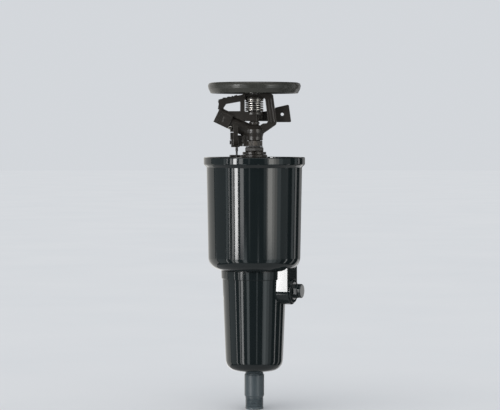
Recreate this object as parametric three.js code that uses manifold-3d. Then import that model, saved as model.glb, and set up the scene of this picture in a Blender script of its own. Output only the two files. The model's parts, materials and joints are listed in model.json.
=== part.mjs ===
// Pop-up impact sprinkler, half-inch inlet: a buried stepped case, a riser that lifts out of it, and a part-circle
// impact head on a rotating bearing. Millimetres, +Z up, origin on the axis at the lower end of the inlet nipple.
// The nozzle throws towards -X. The riser is modelled fully raised.
import * as THREE from "three";
import { mergeVertices } from "three/addons/utils/BufferGeometryUtils.js";
import Module from "manifold-3d";

const wasm = await Module();
wasm.setup();

// ---------------------------------------------------------------- driving dimensions
const TAU = 2 * Math.PI;
const deg = (angle) => (angle * Math.PI) / 180;

const TRAVEL = 79.5; // pop-up stroke of the riser
const FIT = 0.3; // clearance between pieces that are assembled together
const CASE_FACETS = 36;
const RING_FACETS = 24;
const SMALL_FACETS = 16;

const NIPPLE_LENGTH = 58;
const NIPPLE_R = 11.2;
const THREAD_R = 10.4; // half-inch pipe thread
const NIPPLE_BORE_R = 7.9;

const CASE_BASE = 44; // underside of the case
const SHOULDER = 158; // joint between lower and upper case
const CASE_TOP = 285.3; // top of the rim, set level with the lawn
const WALL = 2.8;
const LOWER_R = { base: 32.4, top: 36.1 };
const UPPER_R = { base: 52, top: 53.9 };
const SHOULDER_FILLET = 14.5;
const COLLAR_R = 37.5;
const SEAT_R = 33.3; // mouth of the lower case, where the riser guide sits
const SPIGOT_R = 35.4;
const RIM_R = 57.2;
const LEDGE = 277.5; // seat of the cover when the riser is down
const LEDGE_R = 53.2;

const SIDE_INLET_Z = 135.3;
const SIDE_INLET_AZIMUTH = -21;
const SIDE_BLOCK_FACE = 46; // flat end of the block that holds the side inlet
const SIDE_BLOCK_HALF = 15.5;
const SIDE_INLET_FACE = 48; // end of the raised ring round the socket
const SIDE_RING_R = 13.5;
const SIDE_SOCKET_R = 10.4;

const RISER_R = 13;
const RISER_BORE_R = 10.6;
const PISTON_Z = 147; // underside of the riser's bottom flange
const PISTON_R = 19;
const RISER_TOP = 281.1;
const GUIDE_BORE_R = 19.5;
const GUIDE_TOP = 190;

const COLLAR_Z = 285; // underside of the lower trip collar
const COLLAR_HEIGHT = 3;
const COLLAR_SEAT_R = 10.2;
const WING_TIP_R = 28.5;
const LOWER_WING_AZIMUTH = 171;
const UPPER_WING_AZIMUTH = 91;

const TUBE_R = 6.4; // rotating bearing tube
const TUBE_BORE_R = 4.7;
const BODY_BASE = 304.1;

const BARREL_Z = 312; // where the barrel's axis meets the main axis
const BARREL_TILT = deg(25.6);
const BARREL_R = 7.9;
const BARREL_BORE_R = 5;
const BARREL_LENGTH = 30.6;
const NOZZLE_FACE = 34.4;
const JET_TUBE = { start: 36.2, end: 47.4, half_height: 7.9, half_width: 6.5, wall: 1.9 };

const BRIDGE_TOP = 357.1;
const BRIDGE_HALF = 4.4; // half thickness of the bridge
const PIN_R = 1.6;
const ARM_CLEAR = 4.9; // the arm passes the bridge legs this far off centre
const ARM_PLATE = 3.7;

const TRIP_PIN_Z = 302;
const TRIP_PIN_R = 1.5;

const COVER_TOP = 369.5;
const COVER_BASE = 357.4;
const COVER_R = 52.4;

// ---------------------------------------------------------------- shape helpers
// A closed three.js geometry as a manifold-3d solid, with its faces turned outwards.
function solid(geometry) {
  const loose = geometry.index ? geometry.toNonIndexed() : geometry.clone();
  const bare = new THREE.BufferGeometry().setAttribute("position", loose.getAttribute("position"));
  const merged = mergeVertices(bare, 1e-4);
  const corners = merged.index.array;
  const kept = [];
  for (let i = 0; i < corners.length; i += 3) {
    const [a, b, c] = [corners[i], corners[i + 1], corners[i + 2]];
    if (a !== b && b !== c && c !== a) kept.push(a, b, c);
  }
  const build = (triangles) =>
    new wasm.Manifold(
      new wasm.Mesh({
        numProp: 3,
        vertProperties: merged.attributes.position.array,
        triVerts: new Uint32Array(triangles),
      }),
    );
  const made = build(kept);
  return made.volume() > 0 ? made : build(kept.slice().reverse());
}

function geometryOf(shape) {
  const mesh = shape.getMesh();
  const points = new Float32Array(mesh.numVert * 3);
  for (let i = 0; i < mesh.numVert; i++) {
    points.set(mesh.vertProperties.subarray(i * mesh.numProp, i * mesh.numProp + 3), i * 3);
  }
  const geometry = new THREE.BufferGeometry();
  geometry.setAttribute("position", new THREE.BufferAttribute(points, 3));
  geometry.setIndex(new THREE.BufferAttribute(new Uint32Array(mesh.triVerts), 1));
  geometry.computeVertexNormals();
  return geometry;
}

const join = (...solids) => solids.reduce((sum, next) => sum.add(next));

// Revolves a profile of [radius, height] points about Z. The profile closes on itself or on the axis.
function turned(profile, facets = RING_FACETS) {
  const closed = profile[0][0] > 0 || profile.at(-1)[0] > 0;
  const outline = (closed ? [...profile, profile[0]] : profile).map(([r, z]) => new THREE.Vector2(r, z));
  return solid(new THREE.LatheGeometry(outline, facets).rotateX(Math.PI / 2));
}

const ring = (inner, outer, low, high, facets = RING_FACETS) =>
  turned([[inner, low], [outer, low], [outer, high], [inner, high]], facets);

const disc = (radius, low, high, facets = RING_FACETS) =>
  turned([[0, low], [radius, low], [radius, high], [0, high]], facets);

// Points of an arc on a profile, from one angle to another, both included.
function arc(centre, radius, from, to, steps = 6) {
  return Array.from({ length: steps + 1 }, (_, i) => {
    const angle = deg(from + ((to - from) * i) / steps);
    return [centre[0] + radius * Math.cos(angle), centre[1] + radius * Math.sin(angle)];
  });
}

// A flat outline with holes. The outer loop runs anticlockwise, so that hole walls come out facing inwards.
function outline(points, holes = []) {
  const loop = points.map(([x, y]) => new THREE.Vector2(x, y));
  const shape = new THREE.Shape(THREE.ShapeUtils.isClockWise(loop) ? loop.reverse() : loop);
  shape.holes = holes.map((hole) => new THREE.Path(hole.map(([x, y]) => new THREE.Vector2(x, y))));
  return shape;
}

const slab = (shape, depth) => new THREE.ExtrudeGeometry(shape, { depth, bevelEnabled: false, curveSegments: 6 });

// Extrusions of an outline drawn in plan (x, y), in side view (x, z) and in end view (y, z).
const planPlate = (shape, low, high) => solid(slab(shape, high - low).translate(0, 0, low));
const sidePlate = (shape, near, far) =>
  solid(slab(shape, far - near).rotateX(Math.PI / 2).translate(0, far, 0));
function endPlate(shape, low, high) {
  const basis = new THREE.Matrix4().makeBasis(
    new THREE.Vector3(0, 1, 0),
    new THREE.Vector3(0, 0, 1),
    new THREE.Vector3(1, 0, 0),
  );
  return solid(slab(shape, high - low).applyMatrix4(basis).translate(low, 0, 0));
}

function block(low, high) {
  const size = high.map((value, i) => value - low[i]);
  const middle = high.map((value, i) => (value + low[i]) / 2);
  return solid(new THREE.BoxGeometry(...size).translate(...middle));
}

// A turned shape laid along X, with its local heights as x.
const alongX = (shape) => shape.rotate([0, 90, 0]);

// Copies of one solid spaced evenly about Z.
function around(shape, count, start = 0) {
  return join(...Array.from({ length: count }, (_, i) => shape.rotate([0, 0, start + (360 * i) / count])));
}

// A round wire along a helix about Z.
class Helix extends THREE.Curve {
  constructor(radius, low, high, turns) {
    super();
    Object.assign(this, { radius, low, high, turns });
  }
  getPoint(t, target = new THREE.Vector3()) {
    const angle = TAU * this.turns * t;
    return target.set(
      this.radius * Math.cos(angle),
      this.radius * Math.sin(angle),
      this.low + (this.high - this.low) * t,
    );
  }
}

function coil(radius, wire, low, high, turns, steps = 10, sides = 3) {
  const section = new THREE.Shape().absarc(0, 0, wire, 0, TAU);
  return solid(
    new THREE.ExtrudeGeometry(section, {
      steps: Math.round(turns * steps),
      curveSegments: sides, // per half turn of the wire's section
      bevelEnabled: false,
      extrudePath: new Helix(radius, low + wire, high - wire, turns),
    }),
  );
}

// ---------------------------------------------------------------- materials
const plastic = (color, roughness = 0.35) =>
  new THREE.MeshStandardMaterial({ color, roughness, metalness: 0 });
const steel = new THREE.MeshStandardMaterial({ color: 0xb4b2ac, roughness: 0.3, metalness: 1 });
const MATERIAL = {
  case: plastic(0x14181a, 0.25),
  head: plastic(0x17181a, 0.4),
  nipple: plastic(0x2b3436, 0.45),
  internal: plastic(0x2a2d2f, 0.5),
  rubber: plastic(0x101010, 0.8),
  nylon: plastic(0xd9d6cc, 0.5),
  screen: plastic(0x8b8f8a, 0.6),
  steel,
};

function piece(name, shape, material) {
  const mesh = new THREE.Mesh(geometryOf(shape), material);
  mesh.name = name;
  return mesh;
}

// ---------------------------------------------------------------- case
// Outer skin of the upper case from the shoulder to the rim, grown by a margin.
function upperSkin(margin = 0) {
  const corner = [UPPER_R.base - SHOULDER_FILLET, SHOULDER + SHOULDER_FILLET];
  return [
    ...arc(corner, SHOULDER_FILLET + margin, -90, 0, 6),
    [UPPER_R.top + margin, LEDGE - 2.7],
    [RIM_R + margin, LEDGE],
  ];
}

function lowerCase() {
  const shell = turned(
    [
      [THREAD_R + FIT, CASE_BASE],
      ...arc([LOWER_R.base - 9, CASE_BASE + 9], 9, -90, 0, 4),
      [LOWER_R.top, SHOULDER - 10],
      [COLLAR_R, SHOULDER - 9.6],
      [COLLAR_R, SHOULDER - FIT],
      [SPIGOT_R, SHOULDER - FIT],
      [SPIGOT_R, SHOULDER + 5],
      [SEAT_R, SHOULDER + 5],
      [SEAT_R, SHOULDER - 13],
      ...arc([LOWER_R.base - 9, CASE_BASE + 9], 9 - WALL, 0, -90, 3),
      [THREAD_R + 4, CASE_BASE + WALL],
      [THREAD_R + 4, CASE_BASE + 14.5],
      [THREAD_R + FIT, CASE_BASE + 14.5],
    ],
    CASE_FACETS,
  );
  const arch = endPlate(
    outline([
      ...arc([0, SIDE_INLET_Z], SIDE_BLOCK_HALF, -180, 0, 12),
      [SIDE_BLOCK_HALF, SHOULDER + 14],
      [-SIDE_BLOCK_HALF, SHOULDER + 14],
    ]),
    22,
    SIDE_BLOCK_FACE,
  );
  const raisedRing = turned(
    [
      [0, SIDE_BLOCK_FACE - 2],
      [SIDE_RING_R, SIDE_BLOCK_FACE - 2],
      [SIDE_RING_R, SIDE_INLET_FACE - 0.8],
      [SIDE_RING_R - 0.8, SIDE_INLET_FACE],
      [0, SIDE_INLET_FACE],
    ],
    24,
  );
  const atSideInlet = (shape) => alongX(shape).translate([0, 0, SIDE_INLET_Z]);
  const socket = atSideInlet(disc(SIDE_SOCKET_R, 20, SIDE_INLET_FACE + 5, 24));
  const interior = turned(
    [
      [0, CASE_BASE + 20],
      [LOWER_R.base - WALL, CASE_BASE + 20],
      [SEAT_R, SHOULDER - 13],
      [SEAT_R, SHOULDER + 20],
      [0, SHOULDER + 20],
    ],
    CASE_FACETS,
  );
  const upperEnvelope = turned([[0, SHOULDER - FIT], ...upperSkin(FIT), [0, LEDGE]], CASE_FACETS);
  const turn = (shape) => shape.rotate([0, 0, SIDE_INLET_AZIMUTH]);
  const sideInlet = turn(join(arch, atSideInlet(raisedRing))).subtract(upperEnvelope).subtract(interior);
  return join(shell, sideInlet).subtract(turn(socket));
}

function upperCase() {
  const corner = [UPPER_R.base - SHOULDER_FILLET, SHOULDER + SHOULDER_FILLET];
  return turned(
    [
      [SPIGOT_R + FIT, SHOULDER],
      ...upperSkin(),
      [RIM_R, CASE_TOP - 1.2],
      [RIM_R - 1.2, CASE_TOP],
      [LEDGE_R, CASE_TOP],
      [LEDGE_R, LEDGE],
      [UPPER_R.top - WALL, LEDGE],
      ...arc(corner, SHOULDER_FILLET - WALL, 0, -90, 4),
      [SPIGOT_R + FIT, SHOULDER + WALL],
    ],
    CASE_FACETS,
  );
}

function inletNipple() {
  return turned(
    [
      [NIPPLE_BORE_R, 0],
      [THREAD_R - 0.7, 0],
      [THREAD_R, 2],
      [THREAD_R, 14],
      [NIPPLE_R, 15],
      [NIPPLE_R, 35],
      [THREAD_R, 36],
      [THREAD_R, NIPPLE_LENGTH - 2],
      [THREAD_R - 0.7, NIPPLE_LENGTH],
      [NIPPLE_BORE_R, NIPPLE_LENGTH],
    ],
    24,
  );
}

// Plug for the unused side inlet: threaded body, seal groove, and an eight-sided grip with a round end.
function sidePlug() {
  const head = SIDE_INLET_FACE + FIT;
  const body = turned(
    [
      [0, 34],
      [SIDE_SOCKET_R - FIT, 34],
      [SIDE_SOCKET_R - FIT, head - 4],
      [8.2, head - 4],
      [8.2, head - 1.2],
      [SIDE_SOCKET_R - FIT, head - 1.2],
      [SIDE_SOCKET_R - FIT, head],
      [7, head],
      [7, head + 6],
      [7.9, head + 6.4],
      [7.9, head + 8.8],
      [7.1, head + 9.3],
      [0, head + 9.3],
    ],
    20,
  );
  const grip = turned([[0, head - 0.2], [8.4, head - 0.2], [8.4, head + 5.4], [0, head + 5.4]], 8);
  return alongX(join(body, grip.rotate([0, 0, 22.5])));
}

// ---------------------------------------------------------------- riser guide and seals
function riserGuide() {
  const body = turned([
    [GUIDE_BORE_R, 145],
    [22, 145],
    [22, 163.3],
    [28.2, 163.3],
    [28.2, 147],
    [32.9, 147],
    [32.9, 151.5],
    [30.6, 151.5],
    [30.6, 154.5],
    [32.9, 154.5],
    [32.9, 163.3],
    [36.5, 163.3],
    [36.5, 166.3],
    [22, 166.3],
    [22, GUIDE_TOP],
    [17.9, GUIDE_TOP],
    [17.9, 184.2],
    [13.4, 184.2],
    [13.4, 181.5],
    [GUIDE_BORE_R, 181.5],
  ]);
  const gusset = sidePlate(outline([[21, 165.8], [29, 165.8], [29, 167.5], [22.5, 181], [21, 181]]), -0.9, 0.9);
  return join(body, around(gusset, 6, 30));
}

// Ring nut on the spigot of the lower case: it clamps the upper case's floor and holds the riser guide down.
function unionNut() {
  const seat = SHOULDER + WALL + FIT;
  const body = turned([
    [SPIGOT_R + FIT, seat],
    [37.2, seat],
    [38.8, seat + 1.1],
    [38.8, 168.4],
    [38, 169.2],
    [30.2, 169.2],
    [30.2, 166.6],
    [36.8, 166.6],
    [36.8, 163.2],
    [SPIGOT_R + FIT, 163.2],
  ]);
  const grip = block([38, -1.4, seat + 1.5], [40, 1.4, 168]);
  return join(body, around(grip, 12));
}

function oRing(radius, wire, z, facets = RING_FACETS) {
  return solid(new THREE.TorusGeometry(radius, wire, 6, facets).translate(0, 0, z));
}

const wiperSeal = () =>
  turned([[13.15, 185.6], [14.4, 184.5], [17.6, 184.5], [17.6, 187.9], [14.4, 187.9], [13.15, 187.2]]);

const sealRetainer = () =>
  turned([[13.6, 188.2], [17.6, 188.2], [17.6, GUIDE_TOP + FIT], [22, GUIDE_TOP + FIT], [22, 191.4], [21.2, 192.2], [13.6, 192.2]]);

// ---------------------------------------------------------------- riser
function riserTube() {
  return turned([
    [12.7, PISTON_Z],
    [PISTON_R, PISTON_Z],
    [PISTON_R, PISTON_Z + 3],
    [RISER_R, PISTON_Z + 3],
    [RISER_R, RISER_TOP],
    [RISER_BORE_R, RISER_TOP],
    [RISER_BORE_R, PISTON_Z + 2.6],
    [12.7, PISTON_Z + 2.6],
  ]);
}

// Strainer basket pushed into the lower end of the riser, with six tall windows.
function filterScreen() {
  const basket = turned(
    [
      [8.4, 144.6],
      [10.2, 144.6],
      [10.2, PISTON_Z + FIT],
      [12.4, PISTON_Z + FIT],
      [12.4, PISTON_Z + 2.3],
      [10, PISTON_Z + 2.3],
      [9.2, 180],
      [0, 182],
      [0, 180.6],
      [8, 178.8],
    ],
    SMALL_FACETS,
  );
  const window = block([6, -3.1, 153], [12, 3.1, 176]);
  return basket.subtract(around(window, 6));
}

// Screwed cap at the top of the riser tube, which carries the bearing nut.
function riserCap() {
  const body = turned([[RISER_R + FIT, 272.3], [16.6, 272.3], [16.6, 284.3], [8.7, 284.3], [8.7, 281.4], [RISER_R + FIT, 281.4]]);
  const rib = block([16, -1, 273], [17.4, 1, 283.4]);
  return join(body, around(rib, 12));
}

// Fixed nut that the bearing tube turns in: stem, seat for the trip collars, hexagon.
function bearingNut() {
  const hexTop = 296.4;
  const body = turned([[0, 276], [8.4, 276], [8.4, 284.6], [COLLAR_SEAT_R, 284.6], [COLLAR_SEAT_R, 292], [0, 292]], SMALL_FACETS);
  const hexagon = turned([[0, 291.7], [11, 291.7], [11.9, 292.5], [11.9, hexTop - 0.7], [11.1, hexTop], [0, hexTop]], 6);
  return join(body, hexagon).subtract(disc(TUBE_R + 0.25, 270, 300, SMALL_FACETS));
}

// Split friction ring with one stop wing, drawn with the wing towards +X.
function tripCollar(radius) {
  const band = ring(COLLAR_SEAT_R + 0.25, radius, 0, COLLAR_HEIGHT);
  const wing = planPlate(
    outline([
      [COLLAR_SEAT_R + 1, -1.7],
      [16, -1.1],
      [WING_TIP_R - 5, -1.1],
      ...arc([WING_TIP_R - 1.7, 0], 1.7, -100, 100, 6),
      [WING_TIP_R - 5, 1.1],
      [16, 1.1],
      [COLLAR_SEAT_R + 1, 1.7],
    ]),
    0.1,
    COLLAR_HEIGHT - 0.1,
  );
  const split = block([-radius - 1, -0.6, -1], [-COLLAR_SEAT_R + 1, 0.6, COLLAR_HEIGHT + 1]);
  return join(band, wing).subtract(split);
}

// ---------------------------------------------------------------- head: bearing
const bearingTube = () =>
  turned(
    [[TUBE_BORE_R, 266], [9.6, 266], [9.6, 268.5], [TUBE_R, 268.5], [TUBE_R, 311], [TUBE_BORE_R, 311]],
    SMALL_FACETS,
  );

const washer = (low, high, outer = 9.4) => ring(TUBE_R + FIT, outer, low, high, SMALL_FACETS);

// Inverted cup that keeps sand off the bearing spring.
const sandGuard = () =>
  turned([[8.1, 297.8], [9.2, 297.8], [9.2, 303.8], [TUBE_R + 0.25, 303.8], [TUBE_R + 0.25, 302.9], [8.1, 302.9]], SMALL_FACETS);

// ---------------------------------------------------------------- head: body with barrel and bridge
// Placement of the barrel: local Z runs along the jet and local X points up and back.
function barrelFrame() {
  const along = new THREE.Vector3(-Math.cos(BARREL_TILT), 0, Math.sin(BARREL_TILT));
  const up = new THREE.Vector3(Math.sin(BARREL_TILT), 0, Math.cos(BARREL_TILT));
  const matrix = new THREE.Matrix4().makeBasis(up, new THREE.Vector3(0, 1, 0), along);
  return matrix.setPosition(0, 0, BARREL_Z);
}
const inBarrelFrame = (shape) => shape.transform(barrelFrame().toArray());

// Height of the barrel's top line above a point at -X distance from the axis.
const barrelTop = (distance) => BARREL_Z + distance * Math.tan(BARREL_TILT) + BARREL_R / Math.cos(BARREL_TILT);

function bridgeBody() {
  const bell = turned(
    [
      [0, BODY_BASE],
      [9, BODY_BASE],
      [9.5, BODY_BASE + 0.6],
      [9.5, 308.5],
      [10.8, 313],
      [10.4, 317],
      [8, 320.3],
      [5.4, 321.8],
      [5, 323.5],
      [0, 323.5],
    ],
    28,
  );
  const loop = sidePlate(
    outline(
      [
        [-16, 316],
        [-16, 351],
        [-14.6, 355.2],
        [-11.6, BRIDGE_TOP],
        [19, BRIDGE_TOP],
        [21.2, 355.4],
        [25.3, 324.6],
        [24.4, 321.9],
        [7, 309.8],
        [-7, 309.8],
      ],
      [
        [
          [-10.8, 320],
          [-10.8, 350.2],
          [-9, 352],
          [11.2, 352],
          [13.1, 350.2],
          [16.4, 326],
          [15, 323.8],
          [9.6, 323.4],
          [4, 319.5],
          [-4, 317],
        ],
      ],
    ),
    -BRIDGE_HALF,
    BRIDGE_HALF,
  );
  const relief = (near) =>
    sidePlate(outline([[15.6, 350], [18.4, 352.5], [22.6, 325], [19, 324.4], [18.4, 330]]), near, near + 3);
  const barrel = inBarrelFrame(
    turned([[0, 0], [BARREL_R, 0], [BARREL_R, BARREL_LENGTH - 0.6], [BARREL_R - 0.6, BARREL_LENGTH], [0, BARREL_LENGTH]], 24),
  );
  const stub = turned([[0, BRIDGE_TOP - 1], [5.5, BRIDGE_TOP - 1], [5.5, 360.8], [4.8, 361.5], [0, 361.5]], SMALL_FACETS);
  const tripBracket = join(
    block([-12.6, -5, 297.6], [-9.6, 5, 314]),
    block([-21, 1.2, 306.8], [-9.2, 6, 310.2]),
    block([-10.5, -5, 304.3], [-5, 5, 312]),
  );
  const bores = [
    disc(TUBE_R + 0.25, BODY_BASE - 8, 311.3, SMALL_FACETS),
    disc(TUBE_BORE_R, 311, BARREL_Z + 1, SMALL_FACETS),
    inBarrelFrame(disc(BARREL_BORE_R, -1, 40, SMALL_FACETS)),
    inBarrelFrame(disc(6.4, 20.5, 40, SMALL_FACETS)),
    disc(PIN_R + 0.2, 319.2, 330, 16),
    disc(PIN_R + 0.2, 350, 357.8, 16),
    disc(3.2, 357.5, 370, 16),
    alongX(disc(TRIP_PIN_R + 0.2, -30, -9.9, 16)).translate([0, 0, TRIP_PIN_Z]),
    inBarrelFrame(rangeScrewHole()),
  ];
  const skinned = join(bell, loop, barrel, stub, tripBracket).subtract(relief(-6.6)).subtract(relief(3.6));
  return bores.reduce((left, bore) => left.subtract(bore), skinned);
}

// Range screw, in the barrel frame: it enters the barrel from the near upper side.
const SCREW = { along: 27, lean: 35 };
const inScrewFrame = (shape) => shape.rotate([90, 0, 0]).rotate([0, 0, -SCREW.lean]).translate([0, 0, SCREW.along]);
const rangeScrewHole = () => inScrewFrame(disc(1.55, 5, 12, 12));
const rangeScrew = () =>
  inScrewFrame(
    turned([[0, 6.6], [1.3, 6.6], [1.3, 8.3], [2.6, 8.5], [2.6, 9.6], [2.1, 10.1], [0, 10.1]], 16).subtract(
      block([-3, -0.35, 9.3], [3, 0.35, 11]),
    ),
  );

// Nozzle insert with a bayonet flange, drawn along local Z of the barrel frame.
function nozzle() {
  const body = turned(
    [
      [4.4, 20.8],
      [6.1, 20.8],
      [6.1, BARREL_LENGTH + FIT],
      [7.6, BARREL_LENGTH + FIT],
      [7.6, 33.4],
      [6.4, NOZZLE_FACE],
      [2.6, NOZZLE_FACE],
      [2.4, 31],
      [4.4, 24],
    ],
    20,
  );
  const ear = block([6.8, -1.6, BARREL_LENGTH + FIT], [9.3, 1.6, 33.2]);
  return join(body, around(ear, 2, 60));
}

// Stream straightener: a cross of thin vanes in a ring.
function flowVane() {
  const fin = block([-4.4, -0.4, 8], [4.4, 0.4, 19.6]);
  return join(ring(4.1, 4.8, 8, 19.6, SMALL_FACETS), fin, fin.rotate([0, 0, 90]));
}

// ---------------------------------------------------------------- head: drive arm
function driveArm() {
  const hub = turned(
    [
      [0, 323.8],
      [4.7, 323.8],
      [5, 324.4],
      [5, 333.2],
      [9.3, 333.2],
      [9.3, 336],
      [3.7, 336],
      [3.7, 351.5],
      [0, 351.5],
    ],
    20,
  );
  const webs = join(
    block([-9, -ARM_CLEAR - ARM_PLATE, 328], [3, -1, 335.8]),
    block([-3, 1, 328], [9, ARM_CLEAR + ARM_PLATE, 335.8]),
  );
  const paddle = sidePlate(
    outline([
      [0, 328],
      [25.2, 328],
      [25.2, 326.5],
      [26.2, 325.5],
      [40.6, 325.5],
      [41.5, 326.6],
      [39.2, 343.2],
      [38, 344],
      [24.9, 341],
      [24.5, 336],
      [0, 335.8],
    ]),
    ARM_CLEAR,
    ARM_CLEAR + ARM_PLATE,
  );
  const weight = sidePlate(outline([[27, 327], [39.6, 327], [37.6, 341.6], [27, 339.4]]), ARM_CLEAR, ARM_CLEAR + 6);
  const gripTooth = (x, z) => outline([[x, z - 2], [x + 2.2, z - 1.6], [x + 2, z + 0.9], [x + 0.4, z + 0.6]]);
  const topEdge = (x) => 355.6 + (x + 14.8) * 0.206; // upper edge of the drive side, falling towards the jet
  const underside = (x) => barrelTop(-x) + 0.8;
  const driveSide = sidePlate(
    outline(
      [
        [2, 328],
        [-11, underside(-11) + 1],
        [-16, underside(-16)],
        [-34, underside(-34)],
        [-38, underside(-38) - 1.5],
        [-41.2, 339.5],
        [-40.2, 345.5],
        [-41, 348.6],
        [-38, 351],
        [-15, topEdge(-15)],
        [-12, 356.6],
        [-10.8, 356.4],
        [-10.8, 337],
        [2, 335.8],
      ],
      [
        [
          [-16, 337.3],
          [-16, 348],
          [-31.6, 345.2],
          [-34.6, 341],
          [-34.2, 339],
          [-32.6, 337.3],
        ],
      ],
    ),
    -ARM_CLEAR - ARM_PLATE,
    -ARM_CLEAR,
  );
  const teeth = [-36, -31, -26, -21.5].map((x) =>
    sidePlate(gripTooth(x, topEdge(x) + 0.5), -ARM_CLEAR - ARM_PLATE, -ARM_CLEAR),
  );
  const { start, end, half_height, half_width, wall } = JET_TUBE;
  const duct = block([-half_height, -half_width, start], [half_height, half_width, end])
    .subtract(block([-half_height + wall, -half_width + wall, start - 1], [half_height - wall, half_width - wall, end + 1]));
  const vane = planPlate(outline([[-6.6, -0.2], [6.6, -0.2], [6.6, 1.3], [-6.6, 1.3]]), start + 2, end - 1).rotate([8, 0, 0]);
  const vaneInDuct = vane
    .translate([0, 4.4, 0])
    .intersect(block([-half_height, -half_width, start], [half_height, half_width, end]));
  const whole = join(hub, webs, paddle, weight, driveSide, ...teeth, inBarrelFrame(join(duct, vaneInDuct)));
  const pinBore = disc(PIN_R + 0.25, 320, 355, 16);
  const paddleHole = disc(1.8, -20, 0, 16).rotate([90, 0, 0]).translate([31.6, 0, 333.8]);
  return whole.subtract(pinBore).subtract(paddleHole);
}

const fulcrumPin = () =>
  turned([[0, 319.5], [PIN_R, 319.5], [PIN_R, 357.8], [2.8, 357.8], [2.8, 358.8], [0, 359.2]], 16);

// ---------------------------------------------------------------- head: trip
// Rocker that swings about a pin along X; its finger rises into the path of the arm to reverse the head.
function tripRocker() {
  const z = TRIP_PIN_Z;
  const shoe = endPlate(
    outline([[-5.5, z - 4.3], [-4.5, z - 5.3], [4.5, z - 5.3], [5.5, z - 4.3], [5.5, z + 3], [4.4, z + 4], [-5.5, z + 4]]),
    -26.2,
    -16.6,
  );
  const lip = block([-18, -5.5, z - 4.3], [-13.4, -4.1, z + 3.8]);
  const crest = endPlate(outline([[-4, z + 3], [4, z + 3], [4, z + 10.2], [2.6, z + 11.2], [-2.6, z + 11.2], [-4, z + 10.2]]), -27.2, -22.5);
  const finger = endPlate(
    outline([
      [-5, z - 3.5],
      [-9.5, z - 2],
      [-12, z + 2],
      [-16.2, z + 18.5],
      [-15.6, z + 20],
      [-13.6, z + 20],
      [-8.8, z + 4],
      [-5, z + 4],
    ]),
    -23.6,
    -18.4,
  );
  const pinBore = alongX(disc(TRIP_PIN_R + 0.25, -30, -10, 16)).translate([0, 0, z]);
  const wireBore = disc(1.35, z - 8, z - 2.4, 12).translate([-19.9, 0, 0]);
  return join(shoe, lip, crest, finger).subtract(pinBore).subtract(wireBore);
}

const tripPin = () =>
  alongX(turned([[0, -27.8], [2.3, -27.8], [2.3, -26.5], [TRIP_PIN_R, -26.5], [TRIP_PIN_R, -10.2], [0, -10.2]], 16)).translate([
    0,
    0,
    TRIP_PIN_Z,
  ]);

const tripWire = () => turned([[0, 285.4], [0.8, 285.4], [1.1, 285.8], [1.1, TRIP_PIN_Z - 2.7], [0, TRIP_PIN_Z - 2.7]], 12);

const tripSpring = () => alongX(coil(2.6, 0.4, -16.2, -13, 3, 10, 2)).translate([0, 0, TRIP_PIN_Z]);

// ---------------------------------------------------------------- cover
function cover() {
  const shell = turned(
    [
      [0, COVER_TOP],
      [COVER_R - 4.2, COVER_TOP],
      [COVER_R - 0.8, COVER_TOP - 2.4],
      [COVER_R, COVER_TOP - 3.6],
      [COVER_R, COVER_BASE + 1],
      [COVER_R - 1, COVER_BASE],
      [COVER_R - 2.8, COVER_BASE],
      [COVER_R - 2.8, COVER_TOP - 4.6],
      [COVER_R - 4.6, COVER_TOP - 3],
      [0, COVER_TOP - 3],
    ],
    CASE_FACETS,
  );
  const socket = ring(5.8, 9.4, COVER_BASE, COVER_TOP - 2.5, SMALL_FACETS);
  const rib = block([9, -0.8, COVER_TOP - 5.5], [COVER_R - 2.4, 0.8, COVER_TOP - 2.5]);
  return join(shell, socket, around(rib, 8));
}

// ---------------------------------------------------------------- assembly
const sprinkler = new THREE.Group();

const fixed = new THREE.Group();
fixed.add(
  piece("lower_case", lowerCase(), MATERIAL.case),
  piece("upper_case", upperCase(), MATERIAL.case),
  piece("inlet_nipple", inletNipple(), MATERIAL.nipple),
  piece("riser_guide", riserGuide(), MATERIAL.internal),
  piece("union_nut", unionNut(), MATERIAL.internal),
  piece("guide_o_ring", oRing(31.9, 1.1, 153), MATERIAL.rubber),
  piece("wiper_seal", wiperSeal(), MATERIAL.rubber),
  piece("seal_retainer", sealRetainer(), MATERIAL.internal),
  piece("retract_spring", coil(16.7, 1, 150.3, 181.2, 7), MATERIAL.steel),
);

const sideInlet = new THREE.Group();
sideInlet.position.z = SIDE_INLET_Z;
sideInlet.rotation.z = deg(SIDE_INLET_AZIMUTH);
const plugSeal = alongX(ring(8.5, SIDE_SOCKET_R - FIT, SIDE_INLET_FACE - 3.4, SIDE_INLET_FACE - 1.2, SMALL_FACETS));
sideInlet.add(
  piece("side_inlet_plug", sidePlug(), MATERIAL.case),
  piece("plug_seal", plugSeal, MATERIAL.rubber),
);
fixed.add(sideInlet);

const riser = new THREE.Group();
riser.add(
  piece("riser_tube", riserTube(), MATERIAL.internal),
  piece("filter_screen", filterScreen(), MATERIAL.screen),
  piece("riser_cap", riserCap(), MATERIAL.head),
  piece("bearing_nut", bearingNut(), MATERIAL.head),
);

function collar(name, radius, z, azimuth) {
  const mesh = piece(name, tripCollar(radius), MATERIAL.head);
  mesh.position.z = z;
  mesh.rotation.z = deg(azimuth);
  return mesh;
}
riser.add(
  collar("trip_collar_lower", 14.6, COLLAR_Z, LOWER_WING_AZIMUTH),
  collar("trip_collar_upper", 13.4, COLLAR_Z + COLLAR_HEIGHT + FIT, UPPER_WING_AZIMUTH),
);

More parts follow.
